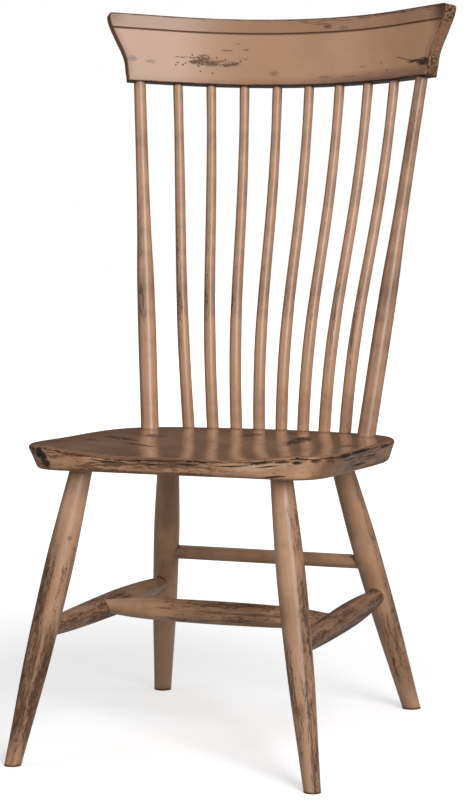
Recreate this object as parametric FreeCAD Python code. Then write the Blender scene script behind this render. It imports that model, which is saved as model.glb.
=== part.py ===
import FreeCAD, Part

import math
import os

# Painted side chair: a saddled plank seat on four splayed legs with stretchers,
# and a back of two posts and eight bent spindles under a bowed crest rail.
# Lengths are millimetres. While the chair is worked out, X = 0 is its middle,
# Y = 0 is midway between the front and rear feet (+Y to the back), Z = 0 the floor.
# At the end the whole chair moves along Y, so that its box is centred on the origin.

V = FreeCAD.Vector

# Joinery, the same in every joint
glue_gap = 0.1
socket_floor_gap = 1.0
cut_overrun = 30.0
floor_overrun = 12.0

# Seat: three boards glued edge to edge, lower at the back
seat_height = 455.4
seat_tilt_degrees = 1.62
seat_width = 485.0
seat_front_reach = 250.0
seat_rear_reach = 223.0
seat_thickness = 35.0
seat_top_round = 5.0
seat_bottom_round = 8.0
front_board_width = 125.0
middle_board_width = 175.0
saddle_depth = 10.6
saddle_flat_half_width = 80.0
saddle_edge_half_width = 205.0
saddle_back_start = -60.0
saddle_back_end = 125.0
pommel_half_width = 36.0
pommel_rise_share = 0.08
# Right half of the seat's outline: share of the half width, share of the front-to-back length
seat_top_shares = (
    (0.0, 0.0), (0.3, 0.0), (0.6, 0.0), (0.805, 0.003), (0.943, 0.060), (1.0, 0.150), (0.989, 0.317),
    (0.989, 0.507), (0.985, 0.641), (0.962, 0.761), (0.897, 0.852), (0.757, 0.930), (0.533, 0.972),
    (0.0, 1.0),
)
seat_bottom_shares = (
    (0.0, 0.008), (0.29, 0.008), (0.575, 0.008), (0.763, 0.011), (0.855, 0.047), (0.903, 0.125),
    (0.913, 0.317), (0.931, 0.507), (0.933, 0.641), (0.916, 0.761), (0.860, 0.850), (0.734, 0.924),
    (0.522, 0.964), (0.0, 0.991),
)

# Legs, turned, from a thin foot to a swelled upper part
foot_base_length = 561.5
front_leg_head_inset = 89.1
rear_leg_head_inset = 101.0
front_foot_splay = 74.3
rear_foot_splay = 73.6
front_leg_head_place = -194.9
rear_leg_head_place = 123.1
front_foot_diameter = 24.2
rear_foot_diameter = 28.2
leg_swell_diameter = 41.5
leg_head_diameter = 32.4
leg_tenon_diameter = 29.6
leg_tenon_length = 27.0
# Share of the leg's length, share of the way from the foot's radius to the swell's
leg_rise_shares = (
    (0.0, 0.0), (0.1, 0.2), (0.2, 0.44), (0.3, 0.68), (0.45, 0.88), (0.58, 0.975), (0.68, 1.0),
)
# Share of the leg's length, share of the way from the swell's radius to the head's
leg_neck_shares = ((0.8, 0.27), (0.89, 0.58), (1.0, 1.0))

# Stretchers, turned, their middle points on the axes of the pieces that they join
side_stretcher_height = 193.0
rear_stretcher_height = 248.5
centre_stretcher_raise = 4.5
stretcher_tenon_length = 21.0
centre_tenon_length = 18.0
side_stretcher_diameter = 37.5
side_stretcher_end_diameter = 24.0
side_stretcher_tenon_diameter = 22.0
centre_stretcher_diameter = 35.4
centre_stretcher_end_diameter = 21.5
centre_stretcher_tenon_diameter = 20.0
rear_stretcher_diameter = 22.2
rear_stretcher_tenon_diameter = 20.6
centre_stretcher_place_share = 0.433
# Share of the length, front to back or side to side,
# and share of the way from the end's radius to the swell's
side_swell_shares = (
    (0.045, 0.0), (0.11, 0.27), (0.19, 0.52), (0.28, 0.7), (0.37, 0.83), (0.46, 0.93), (0.57, 1.0),
    (0.68, 0.92), (0.77, 0.74), (0.85, 0.5), (0.91, 0.26), (0.955, 0.0),
)
centre_swell_shares = (
    (0.05, 0.0), (0.09, 0.3), (0.14, 0.56), (0.21, 0.78), (0.34, 0.94), (0.5, 1.0),
    (0.66, 0.94), (0.79, 0.78), (0.86, 0.56), (0.91, 0.3), (0.95, 0.0),
)
rear_swell_shares = ((0.05, 1.0), (0.5, 1.0), (0.95, 1.0))

# Back posts, straight, thick below and drawn in from two fifths of their length up
post_foot_spread = 358.4
post_foot_place = 137.0
post_diameter = 28.6
post_head_diameter = 19.2
post_seat_tenon_diameter = 27.0
post_crest_tenon_diameter = 16.4
post_seat_tenon_length = 25.0
post_crest_tenon_length = 30.0
# Share of the length, share of the way from the post's radius to its head's
post_draw_shares = (
    (0.0, 0.0), (0.15, 0.0), (0.34, 0.0), (0.4, 0.09), (0.45, 0.21), (0.5, 0.39), (0.54, 0.55),
    (0.6, 0.71), (0.66, 0.82), (0.74, 0.89), (0.83, 0.94), (1.0, 1.0),
)

# Spindles, eight, bent in a long S
spindle_count = 8
spindle_foot_step = 37.4
spindle_foot_place = 205.0
spindle_foot_arc_radius = 408.0
spindle_diameter = 19.0
spindle_head_diameter = 15.0
spindle_seat_tenon_diameter = 17.6
spindle_crest_tenon_diameter = 13.6
spindle_seat_tenon_length = 24.0
spindle_crest_tenon_length = 25.0
spindle_lower_reach_share = 0.42
spindle_upper_reach_share = 0.5
spindle_lower_splay_share = 0.756
spindle_upper_splay_share = 0.678
spindle_upper_lean_share = 0.096
# Share of the length, share of the way from the spindle's radius to its head's
spindle_draw_shares = (
    (0.0, 0.0), (0.09, 0.0), (0.18, 0.0), (0.27, 0.03), (0.36, 0.25), (0.45, 0.42), (0.55, 0.5),
    (0.64, 0.55), (0.73, 0.63), (0.82, 0.75), (0.91, 0.9), (1.0, 1.0),
)

# Crest rail: a board bowed round the sitter's back and leaned with the posts
crest_foot_height = 541.1
crest_foot_place = 318.3
crest_bow_radius = 381.0
crest_bow_half_length = 205.0
crest_lean_degrees = 7.6
crest_middle_height = 108.3
crest_thickness = 26.0
crest_half_length = 310.0
crest_top_drop = 2.9
crest_bottom_drop = 4.3
crest_corner_round = 5.0
crest_edge_round = 2.5
crest_post_place = 254.0
crest_spindle_step = 54.6
groove_drop = 24.0
groove_width = 3.0
# Ogee of the rail's ends: share of the height there, share of the rail's half length
crest_end_shares = (
    (0.0, 0.882), (0.14, 0.888), (0.27, 0.895), (0.4, 0.910), (0.52, 0.932), (0.65, 0.957),
    (0.75, 0.975), (0.85, 0.991), (0.94, 0.999), (1.0, 1.0),
)

# Surfaces and curves are interpolated in spans
crest_length_spans = 24
groove_spans = 16
saddle_spans = 12
# Edges that run along the seat's rim, or across the rail's thickness, are told by this share
flat_edge_share = 0.75

seat_length = seat_front_reach + seat_rear_reach
seat_place = FreeCAD.Placement(V(0, 0, seat_height), FreeCAD.Rotation(V(1, 0, 0), -seat_tilt_degrees))


def blend(low, high, share):
    return low + (high - low) * share


def ease(value, start, end):
    """0 before start, 1 after end, and a smooth step between them."""
    share = min(1.0, max(0.0, (value - start) / (end - start)))
    return share * share * (3 - 2 * share)


def smooth_curve(points):
    curve = Part.BSplineCurve()
    curve.interpolate(Points=points)
    return curve


def straight(start, end):
    return Part.LineSegment(start, end).toShape()


def turned(start, end, stations, foot_tenon, head_tenon, room):
    """A round turned piece from start to end, with a tapered tenon past each end.

    stations are (distance from start, radius). A tenon is (length, radius of its tip).
    room is the gap that a socket for this piece leaves all round it, and zero for the piece.
    """
    floor_room = socket_floor_gap if room else 0.0
    outline = [V(radius + room, 0, distance) for distance, radius in stations]
    low = outline[0].z - foot_tenon[0] - floor_room
    high = outline[-1].z + head_tenon[0] + floor_room
    low_tip = V(foot_tenon[1] + room, 0, low)
    high_tip = V(head_tenon[1] + room, 0, high)
    edges = [
        straight(V(0, 0, low), low_tip),
        straight(low_tip, outline[0]),
        smooth_curve(outline).toShape(),
        straight(outline[-1], high_tip),
        straight(high_tip, V(0, 0, high)),
        straight(V(0, 0, high), V(0, 0, low)),
    ]
    solid = Part.Face(Part.Wire(edges)).revolve(V(0, 0, 0), V(0, 0, 1), 360)
    solid.Placement = FreeCAD.Placement(start, FreeCAD.Rotation(V(0, 0, 1), end - start))
    return solid


# Seat


def seat_wire(height):
    """The seat's outline at a height of its own frame, on the slope between its two edges."""
    rise = (height + seat_thickness) / seat_thickness
    right = []
    for (low_x, low_y), (high_x, high_y) in zip(seat_bottom_shares, seat_top_shares):
        x = blend(low_x, high_x, rise) * seat_width / 2
        y = blend(low_y, high_y, rise) * seat_length - seat_front_reach
        right.append(V(x, y, height))
    left = [V(-point.x, point.y, height) for point in reversed(right[1:-1])]
    outline = Part.BSplineCurve()
    outline.interpolate(Points=right + left, PeriodicFlag=True)
    return Part.Wire([outline.toShape()])


def saddle_height(x, y):
    """How far the deck lies below its plane: two thigh hollows with a low pommel between them."""
    across = 1 - ease(abs(x), saddle_flat_half_width, saddle_edge_half_width)
    pommel = pommel_rise_share * math.exp(-((x / pommel_half_width) ** 2))
    along = 1 - ease(y, saddle_back_start, saddle_back_end)
    return -saddle_depth * across * (1 - pommel) * along


def saddle_cutter():
    """Everything above the saddled deck."""
    half = seat_width / 2 + cut_overrun
    front = -seat_front_reach - cut_overrun
    back = seat_rear_reach + cut_overrun
    rows = []
    for i in range(saddle_spans + 1):
        x = blend(-half, half, i / saddle_spans)
        row = []
        for j in range(saddle_spans + 1):
            y = blend(front, back, j / saddle_spans)
            row.append(V(x, y, saddle_height(x, y)))
        rows.append(row)
    deck = Part.BSplineSurface()
    deck.interpolate(rows)
    return deck.toShape().extrude(V(0, 0, cut_overrun))


def seat_plank():
    """The whole saddled seat in its own frame, with square edges, before its boards are told apart."""
    blank = Part.makeLoft([seat_wire(-seat_thickness), seat_wire(seat_top_round)], True, True)
    return blank.cut(saddle_cutter())


def seat_board(plank, front, back):
    """The stretch of the plank between two glue lines, its outer edges rounded."""
    half = seat_width / 2 + cut_overrun
    low = -seat_thickness - cut_overrun
    slab = Part.makeBox(2 * half, back - front, cut_overrun - low, V(-half, front, low))
    board = plank.common(slab)
    for above, radius in ((True, seat_top_round), (False, seat_bottom_round)):
        rim = []
        for edge in board.Edges:
            box = edge.BoundBox
            middle_height = (box.ZMin + box.ZMax) / 2
            flat = box.ZLength < seat_thickness * flat_edge_share
            if box.YLength > glue_gap and flat and (middle_height > -seat_thickness / 2) == above:
                rim.append(edge)
        board = board.makeFillet(radius, rim)
    board.Placement = seat_place
    return board


# Legs


def leg_ends(end, side):
    """The foot's middle on the floor, and the leg's middle on the seat's underside."""
    inset, splay, y, head_y = {
        "front": (front_leg_head_inset, front_foot_splay, -foot_base_length / 2, front_leg_head_place),
        "rear": (rear_leg_head_inset, rear_foot_splay, foot_base_length / 2, rear_leg_head_place),
    }[end]
    head_x = seat_width / 2 - inset
    foot = V(side * (head_x + splay), y, 0)
    head = seat_place.multVec(V(side * head_x, head_y, -seat_thickness))
    return foot, head


def leg_point(end, side, height):
    """The point of a leg's axis at a height above the floor."""
    foot, head = leg_ends(end, side)
    return foot + (head - foot) * (height / head.z)


def leg(end, side, room=0.0):
    foot, head = leg_ends(end, side)
    length = (head - foot).Length
    foot_radius = (front_foot_diameter if end == "front" else rear_foot_diameter) / 2
    swell = leg_swell_diameter / 2
    head_radius = leg_head_diameter / 2
    stations = [(share * length, blend(foot_radius, swell, rise)) for share, rise in leg_rise_shares]
    stations += [(share * length, blend(swell, head_radius, draw)) for share, draw in leg_neck_shares]
    below = (floor_overrun, foot_radius)
    solid = turned(foot, head, stations, below, (leg_tenon_length, leg_tenon_diameter / 2), room)
    box = solid.BoundBox
    under_floor = Part.makeBox(box.XLength, box.YLength, -box.ZMin, V(box.XMin, box.YMin, box.ZMin))
    return solid.cut(under_floor)


# Stretchers


def stretcher(start, end, swell_shares, diameter, end_diameter, tenon_diameter, tenon_length, room):
    """A stretcher between two axes. Its tenons begin at the first and last stations."""
    length = (end - start).Length
    stations = [
        (share * length, blend(end_diameter / 2, diameter / 2, swell)) for share, swell in swell_shares
    ]
    tenon = (tenon_length, tenon_diameter / 2)
    return turned(start, end, stations, tenon, tenon, room)


def side_stretcher(side, room=0.0):
    return stretcher(
        leg_point("front", side, side_stretcher_height), leg_point("rear", side, side_stretcher_height),
        side_swell_shares, side_stretcher_diameter, side_stretcher_end_diameter,
        side_stretcher_tenon_diameter, stretcher_tenon_length, room,
    )


def centre_stretcher(room=0.0):
    ends = []
    for side in (-1, 1):
        front = leg_point("front", side, side_stretcher_height)
        rear = leg_point("rear", side, side_stretcher_height)
        middle = front + (rear - front) * centre_stretcher_place_share
        ends.append(middle + V(0, 0, centre_stretcher_raise))
    return stretcher(
        ends[0], ends[1], centre_swell_shares, centre_stretcher_diameter, centre_stretcher_end_diameter,
        centre_stretcher_tenon_diameter, centre_tenon_length, room,
    )


def rear_stretcher(room=0.0):
    return stretcher(
        leg_point("rear", -1, rear_stretcher_height), leg_point("rear", 1, rear_stretcher_height),
        rear_swell_shares, rear_stretcher_diameter, rear_stretcher_diameter,
        rear_stretcher_tenon_diameter, stretcher_tenon_length, room,
    )


# Crest rail


def crest_point(along, up, outward):
    """A point of the rail: along it from the middle, up its face, and out from its middle surface.

    The rail is bowed round an arc in its middle and runs straight on towards its ends.
    """
    bowed = max(-crest_bow_half_length, min(crest_bow_half_length, along))
    angle = bowed / crest_bow_radius
    radius = crest_bow_radius + outward
    x = radius * math.sin(angle) + (along - bowed) * math.cos(angle)
    back = radius * math.cos(angle) - crest_bow_radius - (along - bowed) * math.sin(angle)
    lean = math.radians(crest_lean_degrees)
    y = crest_foot_place + back * math.cos(lean) + up * math.sin(lean)
    z = seat_height + crest_foot_height - back * math.sin(lean) + up * math.cos(lean)
    return V(x, y, z)


def crest_bottom(along):
    return -crest_bottom_drop * (along / crest_half_length) ** 2


def crest_top(along):
    return crest_middle_height - crest_top_drop * (along / crest_half_length) ** 2


def crest_face(outward):
    """The rail's front or back, one surface that ends at its edges and at the ogee of its ends."""
    rows = []
    for i in range(crest_length_spans + 1):
        reach = blend(-1, 1, i / crest_length_spans)
        row = []
        for height_share, length_share in crest_end_shares:
            along = reach * length_share * crest_half_length
            up = blend(crest_bottom(along), crest_top(along), height_share)
            row.append(crest_point(along, up, outward))
        rows.append(row)
    surface = Part.BSplineSurface()
    surface.interpolate(rows)
    return surface


def crest_blank():
    """Front and back faces, joined by ruled edges that stand square to them."""
    faces = [crest_face(-crest_thickness / 2), crest_face(crest_thickness / 2)]
    skin = [face.toShape() for face in faces]
    u_low, u_high, v_low, v_high = faces[0].bounds()
    for end in (u_low, u_high):
        skin.append(Part.makeRuledSurface(faces[0].uIso(end).toShape(), faces[1].uIso(end).toShape()))
    for edge in (v_low, v_high):
        skin.append(Part.makeRuledSurface(faces[0].vIso(edge).toShape(), faces[1].vIso(edge).toShape()))
    shell = Part.makeShell(skin)
    shell.sewShape()
    blank = Part.makeSolid(shell)
    if blank.Volume < 0:
        blank.reverse()
    return blank


def groove_cutter():
    """A V groove that follows the rail's top edge across its front."""
    face = -crest_thickness / 2
    corners = (
        (groove_width / 2 + cut_overrun, face - cut_overrun),
        (0.0, face + groove_width / 2),
        (-groove_width / 2 - cut_overrun, face - cut_overrun),
    )
    curves = []
    for raised, outward in corners:
        points = []
        for i in range(groove_spans + 1):
            along = blend(-1, 1, i / groove_spans) * (crest_half_length + cut_overrun)
            points.append(crest_point(along, crest_top(along) - groove_drop + raised, outward))
        curves.append(smooth_curve(points))
    skin = []
    for first, second in ((0, 1), (1, 2), (2, 0)):
        skin.append(Part.makeRuledSurface(curves[first].toShape(), curves[second].toShape()))
    for end in (curves[0].FirstParameter, curves[0].LastParameter):
        ring = [curve.value(end) for curve in curves]
        skin.append(Part.Face(Part.makePolygon(ring + ring[:1])))
    shell = Part.makeShell(skin)
    shell.sewShape()
    cutter = Part.makeSolid(shell)
    if cutter.Volume < 0:
        cutter.reverse()
    return cutter


def crest_rail():
    rail = crest_blank()
    middle = crest_point(crest_half_length, crest_middle_height / 2, 0)
    top_corners = []
    for edge in rail.Edges:
        short = edge.BoundBox.DiagonalLength < crest_thickness / flat_edge_share
        if short and edge.CenterOfMass.z > middle.z:
            top_corners.append(edge)
    rail = rail.makeFillet(crest_corner_round, top_corners)
    rail = rail.makeFillet(crest_edge_round, rail.Edges)
    return rail.cut(groove_cutter())


# Posts and spindles


def crest_socket_middle(along, tenon_length):
    """Where a tenon's axis crosses the rail's middle surface: half a tenon above its lower edge."""
    return crest_point(along, crest_bottom(along) + tenon_length / 2, 0)


def post(side, room=0.0):
    foot = seat_place.multVec(V(side * post_foot_spread / 2, post_foot_place, 0))
    socket = crest_socket_middle(side * crest_post_place, post_crest_tenon_length)
    axis = (socket - foot).normalize()
    head = socket - axis * (post_crest_tenon_length / 2)
    length = (head - foot).Length
    radius = post_diameter / 2
    head_radius = post_head_diameter / 2
    stations = [(share * length, blend(radius, head_radius, draw)) for share, draw in post_draw_shares]
    lower = (post_seat_tenon_length, post_seat_tenon_diameter / 2)
    upper = (post_crest_tenon_length, post_crest_tenon_diameter / 2)
    return turned(foot, head, stations, lower, upper, room)


def spindle(place, room=0.0):
    """place counts half steps out from the middle: -7, -5 .. 5, 7 for eight spindles."""
    floor_room = socket_floor_gap if room else 0.0
    x = place / 2 * spindle_foot_step
    arc_back = spindle_foot_arc_radius - math.sqrt(spindle_foot_arc_radius ** 2 - x ** 2)
    foot = seat_place.multVec(V(x, spindle_foot_place - arc_back, 0))
    head = crest_socket_middle(place / 2 * crest_spindle_step, spindle_crest_tenon_length)
    rise = head.z - foot.z
    splay = head.x - foot.x
    lower = V(splay * spindle_lower_splay_share, 0, rise) * spindle_lower_reach_share
    lean = rise * spindle_upper_lean_share
    upper = V(splay * spindle_upper_splay_share, lean, rise) * spindle_upper_reach_share
    bend = Part.BezierCurve()
    bend.setPoles([foot, foot + lower, head - upper, head])
    radius = spindle_diameter / 2
    head_radius = spindle_head_diameter / 2
    rings = []
    foot_tip = foot - lower.normalize() * (spindle_seat_tenon_length + floor_room)
    rings.append((foot_tip, lower, spindle_seat_tenon_diameter / 2))
    for share, draw in spindle_draw_shares:
        rings.append((bend.value(share), bend.tangent(share)[0], blend(radius, head_radius, draw)))
    head_tip = head + upper.normalize() * (spindle_crest_tenon_length / 2 + floor_room)
    rings.append((head_tip, upper, spindle_crest_tenon_diameter / 2))
    wires = []
    for point, direction, ring_radius in rings:
        ring = Part.Wire(Part.Circle(V(0, 0, 0), V(0, 0, 1), ring_radius + room).toShape())
        ring.Placement = FreeCAD.Placement(point, FreeCAD.Rotation(V(0, 0, 1), direction))
        wires.append(ring)
    return Part.makeLoft(wires, True, False)


def build():
    sides = {"left": -1, "right": 1}
    places = [2 * i - spindle_count + 1 for i in range(spindle_count)]
    pieces = {}

    back_sockets = [post(side, glue_gap) for side in sides.values()]
    back_sockets += [spindle(place, glue_gap) for place in places]
    leg_sockets = [leg(end, side, glue_gap) for end in ("front", "rear") for side in sides.values()]
    side_sockets = {side: side_stretcher(side, glue_gap) for side in sides.values()}

    pieces["crest_rail"] = crest_rail().cut(back_sockets)
    plank = seat_plank()
    first_joint = front_board_width - seat_front_reach
    second_joint = first_joint + middle_board_width
    boards = {
        "seat_board_front": (-seat_front_reach - cut_overrun, first_joint),
        "seat_board_middle": (first_joint, second_joint),
        "seat_board_rear": (second_joint, seat_rear_reach + cut_overrun),
    }
    for name, (front, back) in boards.items():
        pieces[name] = seat_board(plank, front, back).cut(back_sockets + leg_sockets)
    for name, side in sides.items():
        pieces["back_post_" + name] = post(side)
        pieces["leg_front_" + name] = leg("front", side).cut(side_sockets[side])
        pieces["leg_rear_" + name] = leg("rear", side).cut([side_sockets[side], rear_stretcher(glue_gap)])
        pieces["side_stretcher_" + name] = side_stretcher(side).cut(centre_stretcher(glue_gap))
    for number, place in enumerate(places, 1):
        pieces["spindle_" + str(number)] = spindle(place)
    pieces["centre_stretcher"] = centre_stretcher()
    pieces["rear_stretcher"] = rear_stretcher()
    return pieces


os.makedirs("parts", exist_ok=True)
chair = build()
box = Part.makeCompound(list(chair.values())).optimalBoundingBox(False, False)
for name, piece in chair.items():
    solid = Part.makeCompound(piece.Solids) if len(piece.Solids) > 1 else piece.Solids[0]
    solid.translate(V(0, -(box.YMin + box.YMax) / 2, 0))
    solid.exportStep("parts/" + name + ".step")
    print(name, len(piece.Solids), "solid,", round(solid.Volume), "mm3, valid", solid.isValid())
print("box", round(box.XLength, 1), round(box.YLength, 1), round(box.ZLength, 1))
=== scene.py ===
import math

import bpy
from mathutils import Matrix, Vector


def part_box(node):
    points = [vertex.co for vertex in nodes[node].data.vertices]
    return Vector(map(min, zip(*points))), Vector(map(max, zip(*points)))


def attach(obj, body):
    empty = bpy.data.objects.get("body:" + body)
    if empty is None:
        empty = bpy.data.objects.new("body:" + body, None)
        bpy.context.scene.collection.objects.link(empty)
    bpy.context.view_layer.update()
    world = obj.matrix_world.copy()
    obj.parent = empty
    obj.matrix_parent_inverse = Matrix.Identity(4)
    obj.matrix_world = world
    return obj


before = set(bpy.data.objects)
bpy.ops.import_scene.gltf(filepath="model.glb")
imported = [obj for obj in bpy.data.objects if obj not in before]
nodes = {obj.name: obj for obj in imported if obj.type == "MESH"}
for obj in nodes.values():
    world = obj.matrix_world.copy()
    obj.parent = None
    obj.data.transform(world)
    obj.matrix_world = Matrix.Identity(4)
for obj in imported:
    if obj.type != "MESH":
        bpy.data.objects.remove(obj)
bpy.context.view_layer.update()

bpy.ops.object.select_all(action="DESELECT")


# Colours of the paint, the brown glaze rubbed over it, and the wear


def colour(red, green, blue):
    """A colour that is written in screen values, for a shader."""
    return tuple(((v / 255 + 0.055) / 1.055) ** 2.4 for v in (red, green, blue)) + (1.0,)


paint = colour(192, 149, 117)
paint_shade = colour(176, 134, 103)
soft_glaze = colour(116, 83, 62)
deck_paint = colour(168, 125, 94)
deck_glaze = colour(126, 90, 67)
dark_glaze = colour(56, 38, 29)
groove_glaze = colour(104, 70, 48)
black_wear = colour(34, 29, 26)
grey_wear = colour(74, 62, 56)
scraped_paint = colour(212, 178, 150)


# Shader building


def new_group(name, takes, gives):
    """An empty node group with named inputs and outputs, and its two end nodes."""
    tree = bpy.data.node_groups.new(name, "ShaderNodeTree")
    for label, kind, value in takes:
        socket = tree.interface.new_socket(label, in_out="INPUT", socket_type="NodeSocket" + kind)
        socket.default_value = value
    for label, kind in gives:
        tree.interface.new_socket(label, in_out="OUTPUT", socket_type="NodeSocket" + kind)
    return tree, tree.nodes.new("NodeGroupInput").outputs, tree.nodes.new("NodeGroupOutput").inputs


def feed(tree, socket, value):
    if isinstance(value, bpy.types.NodeSocket):
        tree.links.new(value, socket)
    elif value is not None:
        socket.default_value = value


def put(tree, kind, values, **settings):
    """A node with its settings, and with a link or a number on each named input."""
    node = tree.nodes.new("ShaderNode" + kind)
    for name, setting in settings.items():
        setattr(node, name, setting)
    for name, value in values.items():
        feed(tree, node.inputs[name], value)
    return node


def maths(tree, operation, first, second=None, third=None):
    values = {0: first, 1: second, 2: third}
    return put(tree, "Math", values, operation=operation).outputs[0]


def vector_maths(tree, operation, first, second=None, third=None):
    """The outputs of a sum of vectors: Vector first, and Value."""
    values = {0: first, 1: second, 2: third}
    return put(tree, "VectorMath", values, operation=operation).outputs


def times(tree, value, *factors):
    for factor in factors:
        value = maths(tree, "MULTIPLY", value, factor)
    return value


def plus(tree, first, second):
    return maths(tree, "ADD", first, second)


def minus(tree, first, second):
    return maths(tree, "SUBTRACT", first, second)


def parts(tree, first, second):
    return maths(tree, "DIVIDE", first, second)


def square(tree, value):
    return maths(tree, "POWER", value, 2.0)


def size_of(tree, value):
    """A number without its sign."""
    return maths(tree, "ABSOLUTE", value)


def times_plus(tree, value, factor, added):
    return maths(tree, "MULTIPLY_ADD", value, factor, added)


def most(tree, value, *others):
    """The highest of several numbers, or the strongest of several masks."""
    for other in others:
        value = maths(tree, "MAXIMUM", value, other)
    return value


def least(tree, first, second):
    return maths(tree, "MINIMUM", first, second)


def axes_of(tree, vector):
    return put(tree, "SeparateXYZ", {"Vector": vector}).outputs


def vector_of(tree, x, y, z=None):
    return put(tree, "CombineXYZ", {"X": x, "Y": y, "Z": z}).outputs[0]


def own_axes(tree, place, centre, turn):
    """Coordinates measured from a piece's own centre, along its own axes."""
    values = {"Vector": place, "Location": centre, "Rotation": turn}
    return put(tree, "Mapping", values, vector_type="TEXTURE").outputs[0]


def surface_normal(tree):
    return put(tree, "NewGeometry", {}).outputs["Normal"]


def between(tree, value, low, high):
    """0 below low, 1 above high, smooth between them. It also runs down, with low above high."""
    values = {"Value": value, "From Min": low, "From Max": high}
    return put(tree, "MapRange", values, interpolation_type="SMOOTHSTEP").outputs[0]


def blend(tree, share, first, second):
    """The second colour where share is 1, else the first."""
    return put(tree, "Mix", {0: share, 6: first, 7: second}, data_type="RGBA").outputs[2]


def pick(tree, share, first, second):
    """The second number where share is 1, else the first."""
    return put(tree, "Mix", {0: share, 2: first, 3: second}, data_type="FLOAT").outputs[0]


def noise(tree, vector, scale, detail=4.0, roughness=0.6, distortion=0.0):
    values = {
        "Vector": vector, "Scale": scale, "Detail": detail, "Roughness": roughness,
        "Distortion": distortion,
    }
    return put(tree, "TexNoise", values).outputs[0]


def use(tree, group, values):
    """The outputs of a node group that is placed with these values."""
    node = tree.nodes.new("ShaderNodeGroup")
    node.node_tree = group
    for name, value in values.items():
        feed(tree, node.inputs[name], value)
    return node.outputs


# Streaks: the scale of their clumps, the level of noise where they start, how far the glaze lowers
# it, and the softness of their edge
clump_scale = 0.11
bare_level, glaze_drop = 0.80, 0.42
streak_softness = 0.05
# Patches: the scale of their torn rim, how far it is torn, and where it starts and is full
torn_scale, torn_reach = 2.6, 5.0
patch_rim = (1.0, 0.72)
# Brushed paint: the scales of its clouds, its grain and its grit, and what each adds
cloud_scale, grain_scale, grit_scale = 14.0, (420.0, 420.0, 26.0), 900.0
cloud_limits = (0.38, 0.66)
cloud_share, grain_share, grit_share = 0.5, 0.45, 0.35


def streaks_group():
    """Dark glaze caught in short broken scratches that run along Z, in loose clumps."""
    tree, given, result = new_group(
        "glaze_streaks",
        [
            ("Vector", "Vector", (0, 0, 0)), ("Width", "Float", 0.0016), ("Length", "Float", 0.02),
            ("Amount", "Float", 0.4), ("Shift", "Float", 0.0),
        ],
        [("Mask", "Float"), ("Fine", "Float")],
    )
    across = parts(tree, 1.0, given["Width"])
    down = parts(tree, 1.0, given["Length"])
    stretch = vector_of(tree, across, across, down)
    shift = vector_of(tree, given["Shift"], given["Shift"], given["Shift"])
    moved = vector_maths(tree, "MULTIPLY_ADD", given["Vector"], stretch, shift)[0]
    fine = noise(tree, moved, 1.0, detail=2.5, distortion=0.6)
    clumps = noise(tree, moved, clump_scale, detail=3.0)
    level = plus(tree, minus(tree, clumps, 0.5), fine)
    edge = times_plus(tree, given["Amount"], -glaze_drop, bare_level)
    soft = plus(tree, edge, streak_softness)
    feed(tree, result["Mask"], between(tree, level, edge, soft))
    feed(tree, result["Fine"], times_plus(tree, clumps, 0.6, times(tree, fine, 0.4)))
    return tree


def patch_group():
    """A ragged worn place round a centre, with a reach along each axis."""
    tree, given, result = new_group(
        "worn_patch",
        [
            ("Vector", "Vector", (0, 0, 0)), ("Centre", "Vector", (0, 0, 0)),
            ("Reach", "Vector", (0.01, 0.01, 0.01)), ("Ragged", "Float", 0.5),
        ],
        [("Mask", "Float")],
    )
    away = vector_maths(tree, "SUBTRACT", given["Vector"], given["Centre"])[0]
    scaled = vector_maths(tree, "DIVIDE", away, given["Reach"])[0]
    far = vector_maths(tree, "LENGTH", scaled)["Value"]
    rough = noise(tree, scaled, torn_scale, detail=6.0, roughness=0.75)
    torn = times(tree, minus(tree, rough, 0.5), given["Ragged"])
    torn = times_plus(tree, torn, torn_reach, far)
    feed(tree, result["Mask"], between(tree, torn, *patch_rim))
    return tree


def brushed_group():
    """Brushed paint: two tones in soft clouds, and the brush's and the grain's fine relief."""
    tree, given, result = new_group(
        "brushed_paint",
        [
            ("Vector", "Vector", (0, 0, 0)), ("Paint", "Color", (1, 1, 1, 1)),
            ("Glaze", "Color", (0, 0, 0, 1)), ("Glaze Share", "Float", 0.3),
        ],
        [("Color", "Color"), ("Relief", "Float")],
    )
    clouds = noise(tree, given["Vector"], cloud_scale, detail=3.0, roughness=0.55)
    stretched = vector_maths(tree, "MULTIPLY", given["Vector"], grain_scale)[0]
    grain = noise(tree, stretched, 1.0, distortion=0.4)
    grit = noise(tree, given["Vector"], grit_scale, detail=2.0, roughness=0.5)
    clouded = between(tree, clouds, *cloud_limits)
    tone = times_plus(tree, clouded, cloud_share, given["Glaze Share"])
    tone = times_plus(tree, minus(tree, grain, 0.5), grain_share, tone)
    tone = minus(tree, tone, cloud_share / 2)
    feed(tree, result["Color"], blend(tree, tone, given["Paint"], given["Glaze"]))
    feed(tree, result["Relief"], times_plus(tree, grit, grit_share, grain))
    return tree


streaks = streaks_group()
worn_patch = patch_group()
brushed = brushed_group()


def marks_mask(tree, face, marks, ragged):
    """Ragged marks laid out on a face. Each gives its place, its reach and perhaps its strength."""
    masks = []
    for first, second, reach_first, reach_second, *strength in marks:
        values = {
            "Vector": face, "Centre": (first, second, 0), "Reach": (reach_first, reach_second, 1),
            "Ragged": ragged,
        }
        mask = use(tree, worn_patch, values)["Mask"]
        masks.append(times(tree, mask, *strength))
    return most(tree, *masks)


# The paint itself hardly shines. The varnish over it does.
bare_shine = 0.1


def new_material(name):
    material = bpy.data.materials.new(name)
    material.use_nodes = True
    tree = material.node_tree
    shader = tree.nodes["Principled BSDF"]
    place = tree.nodes.new("ShaderNodeTexCoord").outputs["Object"]
    return material, tree, shader, place


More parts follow.
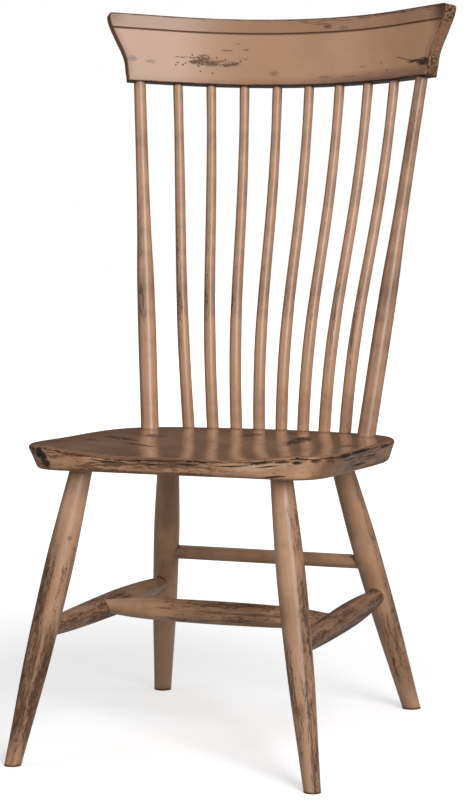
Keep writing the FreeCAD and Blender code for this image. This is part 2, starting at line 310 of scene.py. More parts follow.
def finish(tree, shader, tint, roughness, relief, depth, varnish, varnish_roughness):
    """Colour, roughness, relief with its depth, and varnish, onto the shader."""
    feed(tree, shader.inputs["Base Color"], tint)
    feed(tree, shader.inputs["Roughness"], roughness)
    feed(tree, shader.inputs["Coat Weight"], varnish)
    shader.inputs["Coat Roughness"].default_value = varnish_roughness
    shader.inputs["Specular IOR Level"].default_value = bare_shine
    bump = put(tree, "Bump", {"Height": relief, "Strength": 1.0, "Distance": depth})
    feed(tree, shader.inputs["Normal"], bump.outputs[0])


def dress(node, material):
    for slot in node.material_slots:
        slot.material = material


# Turned pieces

# The share of a piece's length that counts as its end, and over which a worn zone fades out
end_length, fade_length = 0.02, 0.17
# How softly a worn side ends round the piece, as a change of the cosine
side_fade = 0.3
# A fleck's length, and a crack's width and length, in widths of a fleck
fleck_length, crack_width, crack_length = 7, 0.8, 40
# How near a neighbour must be to darken the joint, with glaze kept there and painted shade, and
# the shares of open sky where that darkening starts and is full
joint_reach, joint_shade_sky = 0.006, (0.82, 0.45)
# The dark rim round the soles: the heights where it starts and is full
foot_rim = (0.0045, 0.001)
# A knot's ring: its radius, and how far from that it starts and is full
knot_radius, knot_ring = 0.0024, (0.0022, 0.0004)
above = "above"


def ends_of(node):
    """The middles of a long piece's two ends, from the low or left one to the high or right one."""
    corner_low, corner_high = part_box(node.name)
    size = corner_high - corner_low
    axis = max(range(3), key=lambda i: size[i])
    margin = size[axis] * end_length
    low = [v.co for v in node.data.vertices if v.co[axis] < corner_low[axis] + margin]
    high = [v.co for v in node.data.vertices if v.co[axis] > corner_high[axis] - margin]
    return sum(low, Vector()) / len(low), sum(high, Vector()) / len(high)


def zone_group():
    """Where a turned piece is worn: toward one side of it, between two heights, fading out slowly."""
    tree, given, result = new_group(
        "worn_side",
        [
            ("Vector", "Vector", (0, 0, 0)), ("Normal", "Vector", (0, 0, 1)),
            ("Side", "Vector", (0, 0, 0)), ("Spread", "Float", 0.0),
            ("Low", "Float", 0.0), ("High", "Float", 1.0), ("Fade", "Float", 0.04),
        ],
        [("Mask", "Float")],
    )
    toward = vector_maths(tree, "DOT_PRODUCT", given["Normal"], given["Side"])["Value"]
    off, full = minus(tree, given["Spread"], side_fade), plus(tree, given["Spread"], side_fade)
    round_share = between(tree, toward, off, full)
    height = axes_of(tree, given["Vector"])["Z"]
    rise = between(tree, height, given["Low"], plus(tree, given["Low"], given["Fade"]))
    fall = between(tree, height, given["High"], minus(tree, given["High"], given["Fade"]))
    feed(tree, result["Mask"], times(tree, round_share, times(tree, rise, fall)))
    return tree


worn_side = zone_group()


def toward_side(side):
    """The direction of a side: above, or an angle from the front, positive to the right."""
    if side == above:
        return Vector((0, 0, 1))
    turn = math.radians(side)
    return Vector((math.sin(turn), -math.cos(turn), 0))


def turned_paint(name, shade, zones, fleck=0.0012, crack_share=0.9, knots=()):
    """Satin paint on a turned piece, with glaze left in flecks and cracks on its worn sides.

    The shade is the glaze's share in the paint, and fleck is how wide a fleck is. Each zone is
    (side, degrees to its border, from share, to share, soft glaze, flecks); a soft glaze over a whole
    side facing away from the light is painted shade. A side is above, or an
    angle: 0 is the front, 90 the right. A knot is (angle, share of the length, radius of the piece
    there).
    """
    node = nodes[name]
    start, end = ends_of(node)
    length = (end - start).length
    turn = (end - start).to_track_quat("Z", "Y")
    material, tree, shader, place = new_material(name + "_paint")
    along = own_axes(tree, place, start, turn.to_euler())
    values = {"Vector": along, "Paint": paint, "Glaze": soft_glaze, "Glaze Share": shade}
    base = use(tree, brushed, values)
    tint = base["Color"]
    normal = surface_normal(tree)
    wash, flecks = [], []
    for side, border, low, high, soft, amount in zones:
        values = {
            "Vector": along, "Normal": normal, "Side": toward_side(side),
            "Spread": math.cos(math.radians(border)),
            "Low": low * length, "High": high * length, "Fade": fade_length * length,
        }
        where = use(tree, worn_side, values)["Mask"]
        wash.append(times(tree, where, soft))
        flecks.append(times(tree, where, amount))
    wash, flecks = most(tree, *wash), most(tree, *flecks)
    values = {
        "Vector": along, "Width": fleck, "Length": fleck * fleck_length,
        "Amount": flecks, "Shift": len(name),
    }
    fleck_marks = use(tree, streaks, values)
    values = {
        "Vector": along, "Width": fleck * crack_width, "Length": fleck * crack_length,
        "Amount": times(tree, flecks, crack_share), "Shift": 2.0 * len(name),
    }
    cracks = use(tree, streaks, values)
    worn = between(tree, flecks, 0.02, 0.15)
    mask = times(tree, most(tree, fleck_marks["Mask"], cracks["Mask"]), worn)
    mottle = between(tree, fleck_marks["Fine"], 0.3, 0.62)
    mottle = times_plus(tree, mottle, 0.65, 0.35)
    tint = blend(tree, times(tree, mottle, wash), tint, soft_glaze)
    tint = blend(tree, times(tree, mask, 0.64), tint, dark_glaze)

    # Glaze in knots and under the feet, and darkening in the joints from how closed in they are:
    # glaze kept there and painted shade
    # Painted shade: the joints darken where neighbouring parts close in, by ambient occlusion
    sky = put(tree, "AmbientOcclusion", {"Distance": joint_reach}, samples=6).outputs["AO"]
    joint = between(tree, sky, *joint_shade_sky)
    height = axes_of(tree, place)["Z"]
    glaze_and_joint_shade = [times(tree, joint, 0.9), between(tree, height, *foot_rim)]
    for angle, share, radius in knots:
        middle = turn.to_matrix().inverted() @ (toward_side(angle) * radius)
        middle.z = share * length
        away = vector_maths(tree, "DISTANCE", along, middle)["Value"]
        off_ring = size_of(tree, minus(tree, away, knot_radius))
        glaze_and_joint_shade.append(times(tree, between(tree, off_ring, *knot_ring), 0.6))
    dark = most(tree, *glaze_and_joint_shade)
    tint = blend(tree, times(tree, dark, 0.85), tint, dark_glaze)
    dark = most(tree, dark, mask)
    relief = minus(tree, times(tree, base["Relief"], 0.2), dark)
    matt = most(tree, times(tree, dark, 0.8), times(tree, wash, 0.6))
    finish(
        tree, shader, tint, roughness=times_plus(tree, matt, 0.2, 0.45), relief=relief,
        depth=0.0004, varnish=minus(tree, 1.0, matt), varnish_roughness=0.34,
    )
    dress(node, material)


# Painted shade: on both posts the soft glaze over the side facing left darkens it as shade; the
# flecks there are glaze
turned_paint(
    "back_post_left", 0.3,
    [(-25, 30, 0.2, 0.72, 0.1, 0.58), (-85, 52, -0.3, 1.3, 0.7, 0.2)], 0.0018, 1.3,
)
turned_paint(
    "back_post_right", 0.6,
    [(-10, 40, 0.6, 1.3, 0.3, 0.3), (-80, 45, -0.3, 1.3, 0.6, 0.2)], 0.0016, 1.3,
)
# Painted shade: on the spindles the soft glaze over the side facing left darkens it as shade
for number in range(1, 9):
    amount = 0.47 if number < 4 else 0.38
    turned_paint(
        "spindle_" + str(number), 0.3,
        [(-20, 32, 0.10, 0.72, 0.08, amount), (-85, 50, -0.3, 1.3, 0.65, 0.2)], 0.0014, 1.2,
    )
turned_paint(
    "leg_front_left", 0.08,
    [
        (-60, 72, 0.0, 0.84, 0.80, 0.62), (20, 140, -0.04, 0.54, 0.95, 0.66),
        (115, 45, -0.3, 0.8, 0.6, 0.5), (20, 180, -0.5, 0.80, 0.10, 0.38),
    ],
    knots=((43, 0.724, 0.0205),),
)
turned_paint(
    "leg_front_right", 0.1,
    [
        (95, 72, -0.3, 0.95, 0.85, 0.6), (-60, 60, -0.3, 0.68, 0.3, 0.5),
        (20, 180, -0.4, 0.52, 0.15, 0.44), (110, 35, 0.6, 1.3, 0.4, 0.42),
    ],
)
turned_paint("leg_rear_left", 0.16, [(-70, 45, -0.3, 0.9, 0.4, 0.2)])
turned_paint(
    "leg_rear_right", 0.2, [(105, 45, -0.1, 1.3, 0.6, 0.52), (50, 70, 0.0, 0.45, 0.6, 0.5)]
)
turned_paint(
    "side_stretcher_left", 0.28, [(20, 180, -0.5, 0.72, 0.62, 0.62), (20, 180, 0.3, 1.6, 0.2, 0.2)]
)
turned_paint("side_stretcher_right", 0.5, [(20, 180, -0.6, 1.6, 0.8, 0.6)])
turned_paint(
    "centre_stretcher", 0.24,
    [(above, 88, 0.14, 1.6, 0.5, 0.66), (20, 180, 0.2, 1.6, 0.15, 0.40)],
)
turned_paint("rear_stretcher", 0.26, [(20, 180, -0.5, 1.5, 0.1, 0.12)])


# Drops of glaze that dried under the rear ends of the side stretchers

drip_drop = 0.0125
drip_radius = 0.0022
drip_shape = (1.0, 1.5, 1.3)
tenon_length = 0.021


def glaze_drip(side):
    start, end = ends_of(nodes["side_stretcher_" + side])
    rear, front = (start, end) if start.y > end.y else (end, start)
    place = rear + (front - rear).normalized() * (tenon_length + 2 * drip_radius)
    place.z -= drip_drop
    bpy.ops.mesh.primitive_uv_sphere_add(
        segments=24, ring_count=16, radius=drip_radius, location=place
    )
    drip = bpy.context.object
    drip.name = "glaze_drip_" + side
    bpy.ops.object.mode_set(mode="EDIT")
    bpy.ops.mesh.select_all(action="SELECT")
    bpy.ops.transform.resize(value=drip_shape)
    bpy.ops.object.mode_set(mode="OBJECT")
    bpy.ops.object.transform_apply(location=True, rotation=True, scale=True)
    bpy.ops.object.shade_smooth()
    material, tree, shader, place = new_material("dried_glaze_" + side)
    values = {"Vector": place, "Paint": soft_glaze, "Glaze": dark_glaze, "Glaze Share": 0.6}
    glaze = use(tree, brushed, values)
    finish(
        tree, shader, glaze["Color"], roughness=0.4, relief=glaze["Relief"], depth=0.0002,
        varnish=0.5, varnish_roughness=0.3,
    )
    drip.data.materials.append(material)
    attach(drip, "root")


glaze_drip("left")
glaze_drip("right")


# Seat boards

seat_tilt = math.radians(-1.62)
seat_place = Vector((0, -0.02606, 0.4554))
seat_joints = (-0.125, 0.050)
saddle_depth = 0.0106
saddle_flat, saddle_edge = 0.080, 0.205
saddle_back = (-0.060, 0.125)
pommel_width, pommel_share = 0.036, 0.08
# Dark marks on the deck: place to the right and back, reach sideways and back, strength
deck_marks = (
    (0.0965, 0.056, 0.018, 0.048, 1.0), (0.006, 0.098, 0.016, 0.030, 0.8),
    (-0.162, -0.026, 0.032, 0.016, 0.95), (-0.118, -0.068, 0.026, 0.014, 0.85),
    (-0.135, 0.040, 0.022, 0.022, 0.7), (-0.180, -0.095, 0.014, 0.012, 0.8),
    (-0.208, -0.150, 0.014, 0.040, 0.6), (0.205, -0.045, 0.012, 0.026, 0.7),
    (0.060, 0.150, 0.022, 0.016, 0.6), (0.150, -0.120, 0.024, 0.014, 0.5),
)
# Deep gouges on the front edge: place to the right and up, reach sideways and up
front_gouges = (
    (0.140, -0.006, 0.020, 0.0020), (0.100, -0.008, 0.024, 0.0011), (0.030, -0.008, 0.014, 0.0009),
    (-0.020, -0.010, 0.018, 0.0008), (-0.090, -0.008, 0.028, 0.0011), (-0.198, -0.009, 0.007, 0.0080),
    (-0.191, -0.017, 0.006, 0.0080), (-0.185, -0.024, 0.006, 0.0060), (0.172, -0.007, 0.012, 0.0018),
    (0.193, -0.009, 0.007, 0.0024), (0.216, -0.007, 0.006, 0.0026), (0.150, -0.012, 0.016, 0.0010),
    (0.160, -0.027, 0.018, 0.0014), (0.050, -0.025, 0.014, 0.0010),
)
# Gouges on the right edge: place back and up, reach back and up
side_gouges = (
    (-0.165, -0.0040, 0.026, 0.0036), (-0.090, -0.0040, 0.050, 0.0022),
    (-0.064, -0.0245, 0.034, 0.0018), (-0.140, -0.0110, 0.030, 0.0012),
    (-0.020, -0.0150, 0.030, 0.0010), (0.040, -0.0060, 0.030, 0.0018),
)

# Limits of the surface's normal on the deck, underneath, on the front and right edges, on the
# rounded lip and past it
deck_slope, under_slope = (0.72, 0.95), (-0.6, -0.9)
front_slope, right_slope = (-0.35, -0.75), (0.35, 0.75)
lip_slope, lip_end, beyond_lip = (0.45, 0.80), (0.995, 0.95), (0.93, 0.985)
# The paler scrape on the front edge: place to the right and up, reach sideways and up
scrape = (0.140, -0.011, 0.048, 0.0060)
# The black line under the top edge: its depth and drift, its least half width, what the thick
# places add, and how softly it ends
line_depth, line_drift, line_thin, line_thick = 0.0040, 0.010, 0.0003, 0.0014
line_soft = (0.0006, -0.0002)
# Half the dark line along a joint of two boards, from its start to where it is full
joint_line = (0.0009, 0.0004)
# Places on the seat, from where a look starts to where it is full: the back of the deck, which is
# painted lighter as painted light, the left part of the front edge, and the upper part of the edges
painted_light_deck_back, edge_left, edge_top = (0.02, 0.16), (0.2, 0.02), (-0.022, -0.006)


def seat_material(name):
    """Dark varnished paint on the deck, and lighter, scratched and gouged edges."""
    material, tree, shader, place = new_material(name)
    local = own_axes(tree, place, seat_place, (seat_tilt, 0, 0))
    x, y, z = axes_of(tree, local)
    across, along = vector_of(tree, z, y, x), vector_of(tree, z, x, y)
    normal_x, normal_y, normal_z = axes_of(tree, surface_normal(tree))
    deck = between(tree, normal_z, *deck_slope)
    under = between(tree, normal_z, *under_slope)
    front = between(tree, normal_y, *front_slope)
    right = between(tree, normal_x, *right_slope)
    rim = minus(tree, 1.0, most(tree, deck, under))

    # How far a point lies above or below the saddled deck
    reach = size_of(tree, x)
    hollow = minus(tree, 1.0, between(tree, reach, saddle_flat, saddle_edge))
    pommel = square(tree, parts(tree, reach, pommel_width))
    pommel = maths(tree, "EXPONENT", times(tree, pommel, -1.0))
    hollow = times(tree, hollow, times_plus(tree, pommel, -pommel_share, 1.0))
    hollow = times(tree, hollow, between(tree, y, saddle_back[1], saddle_back[0]))
    level = times_plus(tree, hollow, saddle_depth, z)

    # The deck, dark and varnished, with ragged marks that are broken up along the grain, and painted
    # light that makes its back lighter
    values = {"Vector": across, "Paint": deck_paint, "Glaze": deck_glaze, "Glaze Share": 0.3}
    tint = use(tree, brushed, values)["Color"]
    # Painted light: the back of the deck is blended towards the lighter paint
    tint = blend(tree, times(tree, between(tree, y, *painted_light_deck_back), 0.75), tint, paint_shade)
    marks = marks_mask(tree, vector_of(tree, x, y), deck_marks, 0.8)
    hairs = times_plus(tree, marks, 0.90, 0.17)
    values = {"Vector": across, "Width": 0.0032, "Length": 0.016, "Amount": hairs, "Shift": 9.0}
    deck_dark = times(tree, use(tree, streaks, values)["Mask"], deck)
    deck_dark = times(tree, deck_dark, times_plus(tree, marks, 0.55, 0.4))

    # The edges, lighter in front, with glaze dragged along them, most near the top and to the left
    values = {"Vector": across, "Paint": paint, "Glaze": soft_glaze, "Glaze Share": 0.12}
    front_tint = use(tree, brushed, values)["Color"]
    values = {"Vector": along, "Paint": deck_paint, "Glaze": deck_glaze, "Glaze Share": 0.7}
    side_tint = use(tree, brushed, values)["Color"]
    edge_tint = blend(tree, front, side_tint, front_tint)
    left_share = between(tree, x, *edge_left)
    top_share = between(tree, level, *edge_top)
    amount = times_plus(tree, left_share, 0.45, times_plus(tree, top_share, 0.12, 0.18))
    values = {"Vector": across, "Width": 0.0011, "Length": 0.012, "Amount": amount, "Shift": 5.0}
    front_lines = use(tree, streaks, values)
    values = {"Vector": along, "Width": 0.0014, "Length": 0.014, "Amount": 0.5, "Shift": 2.0}
    side_lines = use(tree, streaks, values)["Mask"]
    lines = pick(tree, front, side_lines, front_lines["Mask"])
    rubbed = times(tree, between(tree, front_lines["Fine"], 0.35, 0.62), left_share)
    edge_tint = blend(tree, times(tree, rubbed, 0.52), edge_tint, soft_glaze)
    front_face, right_face = vector_of(tree, x, level), vector_of(tree, y, level)
    scraped = times(tree, marks_mask(tree, front_face, [scrape], 0.7), front)
    edge_tint = blend(tree, times(tree, scraped, 0.55), edge_tint, scraped_paint)
    edge_tint = blend(tree, times(tree, lines, 0.6), edge_tint, dark_glaze)
    tint = blend(tree, rim, tint, edge_tint)
    lip = times(tree, between(tree, normal_z, *lip_slope), between(tree, normal_z, *lip_end))
    tint = blend(tree, times(tree, lip, 0.85), tint, deck_glaze)
    values = {"Vector": across, "Paint": paint_shade, "Glaze": soft_glaze, "Glaze Share": 0.5}
    tint = blend(tree, under, tint, use(tree, brushed, values)["Color"])

    # A ragged black line under the top edge, thick in places, and deeper gouges
    drift = minus(tree, noise(tree, across, 22.0, detail=5.0, roughness=0.7), 0.5)
    ragged = times_plus(tree, drift, line_drift, level)
    wobble = minus(tree, noise(tree, across, 60.0, roughness=0.7), 0.5)
    thick = times_plus(tree, between(tree, wobble, 0.0, 0.18), line_thick, line_thin)
    off_line = minus(tree, size_of(tree, plus(tree, ragged, line_depth)), thick)
    line = between(tree, off_line, *line_soft)
    line = times(tree, line, minus(tree, 1.0, between(tree, normal_z, *beyond_lip)))
    front_cuts = marks_mask(tree, front_face, front_gouges, 0.7)
    right_cuts = marks_mask(tree, right_face, side_gouges, 0.7)
    gouges = most(
        tree, times(tree, front_cuts, times(tree, front, rim)),
        times(tree, right_cuts, times(tree, right, rim)),
    )
    joints = []
    for joint in seat_joints:
        gap = size_of(tree, minus(tree, y, joint))
        joints.append(between(tree, gap, *joint_line))
    joint = times(tree, most(tree, *joints), times_plus(tree, rim, 0.5, 0.25))
    dark = most(tree, line, gouges, joint, deck_dark)
    tint = blend(tree, times(tree, dark, 0.92), tint, black_wear)

    scratches = times(tree, lines, rim)
    relief = times(tree, use(tree, brushed, {"Vector": across})["Relief"], 0.12)
    relief = minus(tree, relief, times(tree, scratches, 0.6))
    relief = minus(tree, relief, times(tree, dark, 1.2))
    roughness = times_plus(tree, most(tree, rim, dark), 0.25, 0.22)
    roughness = times_plus(tree, deck_dark, 0.4, roughness)
    matt = most(tree, times(tree, rim, 0.4), lip, dark, scratches)
    varnish = times(tree, minus(tree, 1.0, matt), times_plus(tree, rim, -0.4, 0.8))
    finish(
        tree, shader, tint, roughness, relief, depth=0.0007, varnish=varnish,
        varnish_roughness=0.24,
    )
    return material


seat_finish = seat_material("seat_paint")
for board in ("front", "middle", "rear"):
    dress(nodes["seat_board_" + board], seat_finish)


# Crest rail

crest_place = Vector((0, 0.29224, 0.9965))
crest_lean = math.radians(-7.6)
crest_radius = 0.381
crest_bow = 0.205
crest_half = 0.310
crest_height = 0.1083
crest_top_drop = 0.0029
crest_bottom_drop = 0.0043
crest_half_thickness = 0.013
groove_drop = 0.024
crest_end_shares = (
    (0.0, 0.882), (0.14, 0.888), (0.27, 0.895), (0.4, 0.910), (0.52, 0.932), (0.65, 0.957),
    (0.75, 0.975), (0.85, 0.991), (1.0, 1.0),
)
# Marks on the rail's front: place up and along, reach up and along, strength
grey_rubs = (
    (0.0385, -0.1500, 0.0100, 0.018, 1.0), (0.0345, -0.1230, 0.0055, 0.034, 1.0),
    (0.0415, -0.1780, 0.0016, 0.022, 0.9), (0.0350, -0.1640, 0.0044, 0.012, 1.0),
)
brown_smudges = (
    (0.056, -0.112, 0.0018, 0.010, 0.8), (0.058, -0.080, 0.0018, 0.006, 0.75),
    (0.043, -0.083, 0.0022, 0.008, 0.5), (0.033, -0.270, 0.0052, 0.009, 0.9),
    (0.031, -0.239, 0.0034, 0.009, 0.8), (0.067, -0.094, 0.0014, 0.005, 0.5),
    (0.094, 0.062, 0.0046, 0.008, 0.9), (0.090, 0.093, 0.0042, 0.008, 0.9),
    (0.027, 0.172, 0.0018, 0.004, 0.8), (0.024, 0.134, 0.0014, 0.008, 0.6),
    (0.013, 0.149, 0.0018, 0.006, 0.6), (0.014, 0.186, 0.0018, 0.004, 0.7),
    (0.020, -0.030, 0.0046, 0.008, 0.5), (0.105, 0.156, 0.0026, 0.006, 0.6),
    (0.012, 0.060, 0.0024, 0.012, 0.5), (0.010, 0.105, 0.0020, 0.016, 0.6),
)
black_marks = ((0.019, 0.268, 0.0070, 0.014, 1.0), (0.022, 0.248, 0.0026, 0.016, 0.95))
# Worm holes: place up and along
worm_holes = (
    (0.028, -0.197), (0.032, -0.194), (0.029, -0.185), (0.032, -0.181), (0.028, -0.159),
    (0.020, -0.155), (0.018, -0.135), (0.044, -0.129), (0.041, -0.114), (0.039, -0.089),
    (0.036, -0.093), (0.046, -0.170),
)
# How far the dark outline reaches in at the rail's long edges, its ends and its faces
edge_reach, end_reach, face_reach = 0.0030, 0.0013, 0.0030
# How ragged that outline is, and where it is full, as shares of its reach
outline_ragged, outline_full = 1.6, 0.3
# Half the groove's dark line, from its start to where it is full
groove_line = (0.0030, 0.0012)
# How far out the rail's front lies, and how near its end its end grain
front_out, end_near = (-0.0100, -0.0110), (0.0030, 0.0018)
# Limits of the surface's normal on the end grain and underneath
end_slope, below_slope = (0.60, 0.75), (-0.4, -0.8)
# How near the outline the glaze fades in
edge_fade = (0.014, 0.0)
# Places on the rail, as heights and as distances to the right of its middle, from where a look
# starts to where it is full
# The first pair is where painted shade darkens the rail's left part
shaded_left_part, right_end = (0.10, -0.20), (-0.1, 0.1)
over_groove_up = (0.082, 0.088)
smear_up, smear_along = (0.022, 0.0), (-0.02, 0.12)
end_low_up, end_high_up = (0.050, 0.015), (0.06, 0.09)
drag_up, drag_along = (0.092, 0.108), (-0.08, 0.02)
corner_up, corner_along = (0.055, 0.092), (0.272, 0.306)
left_corner_up, left_corner_along = (0.078, 0.100), (-0.276, -0.308)
# The split: its fall to the right, its height at the rail's middle, its half width and its ends
split_fall, split_height, split_width = 0.27, 0.0882, (0.0009, 0.0003)
split_start, split_end = (0.203, 0.212), (0.262, 0.254)
# How near a worm hole's middle its dark starts and is full
hole_rim = (0.0016, 0.0008)


def crest_places_group():
    """Where a point lies on the bowed rail, and how near its outline and its groove."""
    tree, given, result = new_group(
        "crest_places",
        [("Vector", "Vector", (0, 0, 0))],
        [
            ("Flow", "Vector"), ("Face", "Vector"), ("Outline", "Float"), ("Groove", "Float"),
            ("Front", "Float"), ("End", "Float"), ("From Edge", "Float"),
        ],
    )
    x, y, up = axes_of(tree, own_axes(tree, given["Vector"], crest_place, (crest_lean, 0, 0)))
    reach = size_of(tree, x)
    back = plus(tree, y, crest_radius)
    bow_angle = crest_bow / crest_radius
    cosine, sine = math.cos(bow_angle), math.sin(bow_angle)
    angle = maths(tree, "ARCTAN2", reach, back)
    arc_out = maths(tree, "SQRT", times_plus(tree, reach, reach, times(tree, back, back)))
    end_along = times_plus(tree, reach, cosine, times_plus(tree, back, -sine, crest_bow))
    end_out = times_plus(tree, reach, sine, times(tree, back, cosine))
    straight = maths(tree, "GREATER_THAN", angle, bow_angle)
    along = pick(tree, straight, times(tree, angle, crest_radius), end_along)
    out = minus(tree, pick(tree, straight, arc_out, end_out), crest_radius)

    sag = square(tree, parts(tree, along, crest_half))
    top = times_plus(tree, sag, -crest_top_drop, crest_height)
    bottom = times(tree, sag, -crest_bottom_drop)
    under_top = minus(tree, top, up)
    over_bottom = minus(tree, up, bottom)
    share = parts(tree, over_bottom, minus(tree, top, bottom))
    ogee = put(tree, "FloatCurve", {"Value": share})
    points = ogee.mapping.curves[0].points
    points[0].location, points[1].location = crest_end_shares[0], crest_end_shares[-1]
    for point in crest_end_shares[1:-1]:
        points.new(*point)
    ogee.mapping.update()
    from_end = minus(tree, times(tree, ogee.outputs[0], crest_half), along)
    from_edge = least(tree, under_top, over_bottom)
    from_face = minus(tree, crest_half_thickness, size_of(tree, out))

    wobble = minus(tree, noise(tree, given["Vector"], 45.0, roughness=0.7), 0.5)
    near = []
    for distance, reach in (
        (from_edge, edge_reach), (from_end, end_reach), (from_face, face_reach)
    ):
        ragged = times_plus(tree, wobble, reach * outline_ragged, distance)
        near.append(between(tree, ragged, reach, reach * outline_full))
    near_edge, near_end, near_face = near
    outline = most(
        tree, times(tree, near_edge, near_face), times(tree, near_end, near_face),
        times(tree, near_edge, near_end),
    )
    front = between(tree, out, *front_out)
    off_groove = size_of(tree, minus(tree, under_top, groove_drop))
    signed = times(tree, along, maths(tree, "SIGN", x))
    feed(tree, result["Flow"], vector_of(tree, out, up, signed))
    feed(tree, result["Face"], vector_of(tree, up, signed))
    feed(tree, result["Outline"], outline)
    feed(tree, result["Groove"], times(tree, between(tree, off_groove, *groove_line), front))
    feed(tree, result["Front"], front)
    feed(tree, result["End"], between(tree, from_end, *end_near))
    feed(tree, result["From Edge"], least(tree, from_edge, from_end))
    return tree


crest_places = crest_places_group()


def crest_finish():
    """Satin paint on the rail, with glaze at its outline, groove and ends, and its wear."""
    material, tree, shader, place = new_material("crest_paint")
    spot = use(tree, crest_places, {"Vector": place})
    flow, face, front = spot["Flow"], spot["Face"], spot["Front"]
    values = {"Vector": flow, "Paint": paint, "Glaze": paint_shade, "Glaze Share": 0.62}
    base = use(tree, brushed, values)
    up, along, _ = axes_of(tree, face)

    # Glaze that fades in towards the edges, and smears along the lower edge; painted shade darkens
    # the left part
    values = {"Vector": flow, "Width": 0.004, "Length": 0.05, "Amount": 0.5, "Shift": 4.0}
    smear = use(tree, streaks, values)
    # Painted shade: the left part of the rail is darkened towards the darker paint, against the key
    # light's sheen there
    tint = blend(tree, between(tree, along, *shaded_left_part), base["Color"], paint_shade)
    over_groove = times(tree, between(tree, up, *over_groove_up), 0.34)
    soft_edge = times(tree, between(tree, spot["From Edge"], *edge_fade), 0.45)
    tint = blend(tree, most(tree, soft_edge, over_groove), tint, soft_glaze)
    low = times(tree, between(tree, up, *smear_up), between(tree, along, *smear_along))
    smeared = times(tree, low, between(tree, smear["Fine"], 0.30, 0.55))
    tint = blend(tree, times(tree, smeared, 0.95), tint, soft_glaze)

    # The end grain takes more glaze, most near the lower and upper corners, and the underside is
    # painted dark as painted shade
    normal_x, _, normal_z = axes_of(tree, surface_normal(tree))
    end = times(tree, spot["End"], between(tree, size_of(tree, normal_x), *end_slope))
    end = times(tree, end, times_plus(tree, between(tree, along, *right_end), 0.75, 0.25))
    end_share = times_plus(tree, between(tree, up, *end_low_up), 0.6, 0.35)
    end_share = most(tree, end_share, between(tree, up, *end_high_up))
    mottled = between(tree, noise(tree, place, 260.0, roughness=0.7), 0.42, 0.58)
    end_share = times(tree, end_share, mottled, end)
    tint = blend(tree, times(tree, end, 0.3), tint, soft_glaze)
    tint = blend(tree, end_share, tint, dark_glaze)
    # Painted shade: the rail's underside is darkened almost to the dark glaze
    shaded_underside = between(tree, normal_z, *below_slope)
    tint = blend(tree, times(tree, shaded_underside, 0.92), tint, dark_glaze)

    # Grey rubs and brown smudges
    values = {"Vector": flow, "Width": 0.0012, "Length": 0.004, "Amount": 0.94, "Shift": 1.0}
    strokes = use(tree, streaks, values)["Mask"]
    rub = times(tree, marks_mask(tree, face, grey_rubs, 0.5), strokes, front)
    tint = blend(tree, times(tree, rub, 0.75), tint, grey_wear)
    smudge = times(tree, marks_mask(tree, face, brown_smudges, 0.9), front)
    smudge = times(tree, smudge, times_plus(tree, strokes, 0.6, 0.4))
    tint = blend(tree, smudge, tint, groove_glaze)

    # Glaze dragged along under the top edge, mostly past the middle, and thick at the corners
    near_top = times(tree, between(tree, up, *drag_up), between(tree, along, *drag_along))
    amount = times(tree, near_top, 1.05)
    values = {"Vector": flow, "Width": 0.0018, "Length": 0.02, "Amount": amount, "Shift": 8.0}
    dragged = times(tree, use(tree, streaks, values)["Mask"], between(tree, near_top, 0.05, 0.3))
    tint = blend(tree, times(tree, dragged, 0.85), tint, groove_glaze)
    corner = times(tree, between(tree, along, *corner_along), between(tree, up, *corner_up))
    left_corner = between(tree, along, *left_corner_along)
    left_corner = times(tree, left_corner, between(tree, up, *left_corner_up))
    corners = most(tree, times(tree, corner, 0.85), times(tree, left_corner, 0.4))
    corners = times(tree, corners, front)
    tint = blend(tree, corners, tint, dark_glaze)

    # Worm holes, black marks and the split at the right end
    slope = times_plus(tree, along, split_fall, minus(tree, up, split_height))
    split = between(tree, size_of(tree, slope), *split_width)
    split = times(tree, split, between(tree, along, *split_start))
    split = times(tree, split, between(tree, along, *split_end))
    black = times(tree, most(tree, marks_mask(tree, face, black_marks, 0.9), split), front)
    holes = []
    for hole in worm_holes:
        away = vector_maths(tree, "DISTANCE", face, hole + (0,))["Value"]
        holes.append(between(tree, away, *hole_rim))
    black = most(tree, black, times(tree, most(tree, *holes), front))
    tint = blend(tree, times(tree, black, 0.9), tint, black_wear)

    tint = blend(tree, times(tree, spot["Groove"], 0.75), tint, groove_glaze)
    tint = blend(tree, times(tree, spot["Outline"], 0.75), tint, dark_glaze)
    worn = most(tree, rub, black)
    relief = minus(tree, times(tree, base["Relief"], 0.15), worn)
    roughness = times_plus(tree, most(tree, worn, spot["Outline"]), 0.2, 0.42)
    matt = most(tree, worn, spot["Outline"], shaded_underside, end, times(tree, corners, 0.8))
    finish(
        tree, shader, tint, roughness, relief, depth=0.0005, varnish=minus(tree, 1.0, matt),
        varnish_roughness=0.40,
    )
    dress(nodes["crest_rail"], material)


crest_finish()


# Stage, light and camera

floor_side = 30.0
# The floor's glow under the chair, its glow far away, which is white, and the distances between
# which it grows
glow_near, glow_white, glow_limits = 0.5, 1.0, (0.5, 2.2)
cloth_radius, cloth_height = 6.0, 2.6
# How much of the white floor and of the world shows in reflections
floor_reflected, world_reflected = 0.2, 0.3
# How strongly the world lights the chair
world_light = 0.3
light_aim = Vector((0, 0, 0.5))


def background_rays(tree, reflected):
    """1 for camera and glass rays, and a share of that for reflections."""
    rays = tree.nodes.new("ShaderNodeLightPath").outputs
    seen = most(tree, rays["Is Camera Ray"], rays["Is Transmission Ray"])
    return most(tree, seen, times(tree, rays["Is Glossy Ray"], reflected))


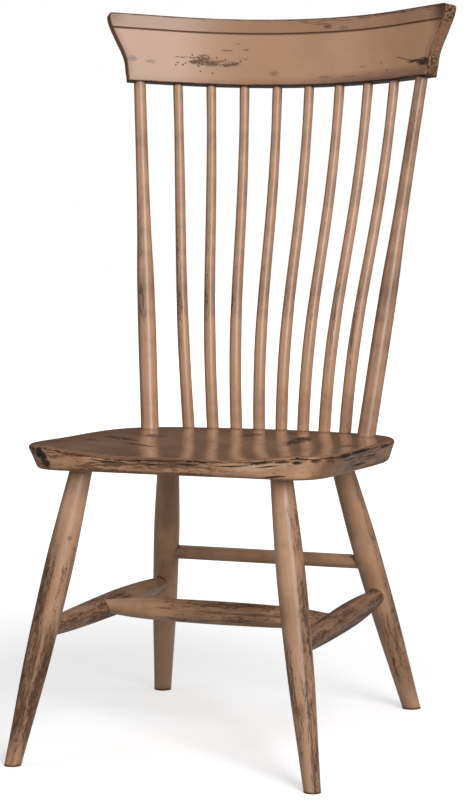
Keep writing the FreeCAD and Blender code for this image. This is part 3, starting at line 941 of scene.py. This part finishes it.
floor_material, tree, shader, place = new_material("floor_paper")
seen = background_rays(tree, floor_reflected)
shader.inputs["Base Color"].default_value = colour(150, 148, 145)
shader.inputs["Roughness"].default_value = 0.9
far = vector_maths(tree, "LENGTH", place)["Value"]
glow = times_plus(tree, between(tree, far, *glow_limits), glow_white - glow_near, glow_near)
white = put(tree, "Emission", {"Strength": glow})
paper = put(tree, "BsdfDiffuse", {"Color": (0.8, 0.8, 0.8, 1)})
pale = put(tree, "AddShader", {0: white.outputs[0], 1: paper.outputs[0]})
shown = put(tree, "MixShader", {0: seen, 1: shader.outputs[0], 2: pale.outputs[0]})
feed(tree, tree.nodes["Material Output"].inputs["Surface"], shown.outputs[0])

bpy.ops.mesh.primitive_plane_add(size=floor_side, location=(0, 0, 0))
floor = bpy.context.object
floor.name = "floor"
floor.data.materials.append(floor_material)

# Dark cloths round the studio, which only show as reflections in the varnish
bpy.ops.mesh.primitive_cylinder_add(
    radius=cloth_radius, depth=cloth_height, end_fill_type="NOTHING",
    location=(0, 0, cloth_height / 2),
)
cloths = bpy.context.object
cloths.name = "dark_cloths"
cloth_material, tree, shader, place = new_material("dark_cloth")
shader.inputs["Base Color"].default_value = colour(60, 52, 47)
shader.inputs["Roughness"].default_value = 0.95
cloths.data.materials.append(cloth_material)
cloths.visible_camera = False
cloths.visible_diffuse = False
cloths.visible_shadow = False
cloths.visible_transmission = False

world = bpy.data.worlds.new("studio")
bpy.context.scene.world = world
world.use_nodes = True
tree = world.node_tree
background = tree.nodes["Background"]
seen = background_rays(tree, world_reflected)
strength = times_plus(tree, seen, 1.0 - world_light, world_light)
feed(tree, background.inputs["Strength"], strength)
background.inputs["Color"].default_value = (1, 1, 1, 1)


def soft_light(name, azimuth, elevation, distance, width, height, watts):
    """A soft light that looks at the chair's middle. Azimuth 0 is in front, 90 to the right."""
    turn, rise = math.radians(azimuth), math.radians(elevation)
    level = math.cos(rise)
    away = Vector((math.sin(turn) * level, -math.cos(turn) * level, math.sin(rise)))
    bpy.ops.object.light_add(type="AREA", location=light_aim + away * distance)
    lamp = bpy.context.object
    lamp.name = name
    lamp.data.shape = "RECTANGLE"
    lamp.data.size = width
    lamp.data.size_y = height
    lamp.data.energy = watts
    lamp.rotation_euler = away.to_track_quat("Z", "Y").to_euler()


soft_light("key_light", 42, 26, distance=3.8, width=1.4, height=2.8, watts=117)
soft_light("fill_light", -50, 18, distance=4.0, width=2.0, height=2.0, watts=13)
soft_light("side_light", 100, 14, distance=4.0, width=1.2, height=2.4, watts=18)

camera_place = (1.19402, -3.32105, 0.82268)
camera_drop, camera_turn = 5.0286, 19.771
bpy.ops.object.camera_add(
    location=camera_place,
    rotation=(math.radians(90 - camera_drop), 0, math.radians(camera_turn)),
)
camera = bpy.context.object
camera.data.lens = 104.95
bpy.context.scene.camera = camera
bpy.context.scene.view_settings.view_transform = "Standard"
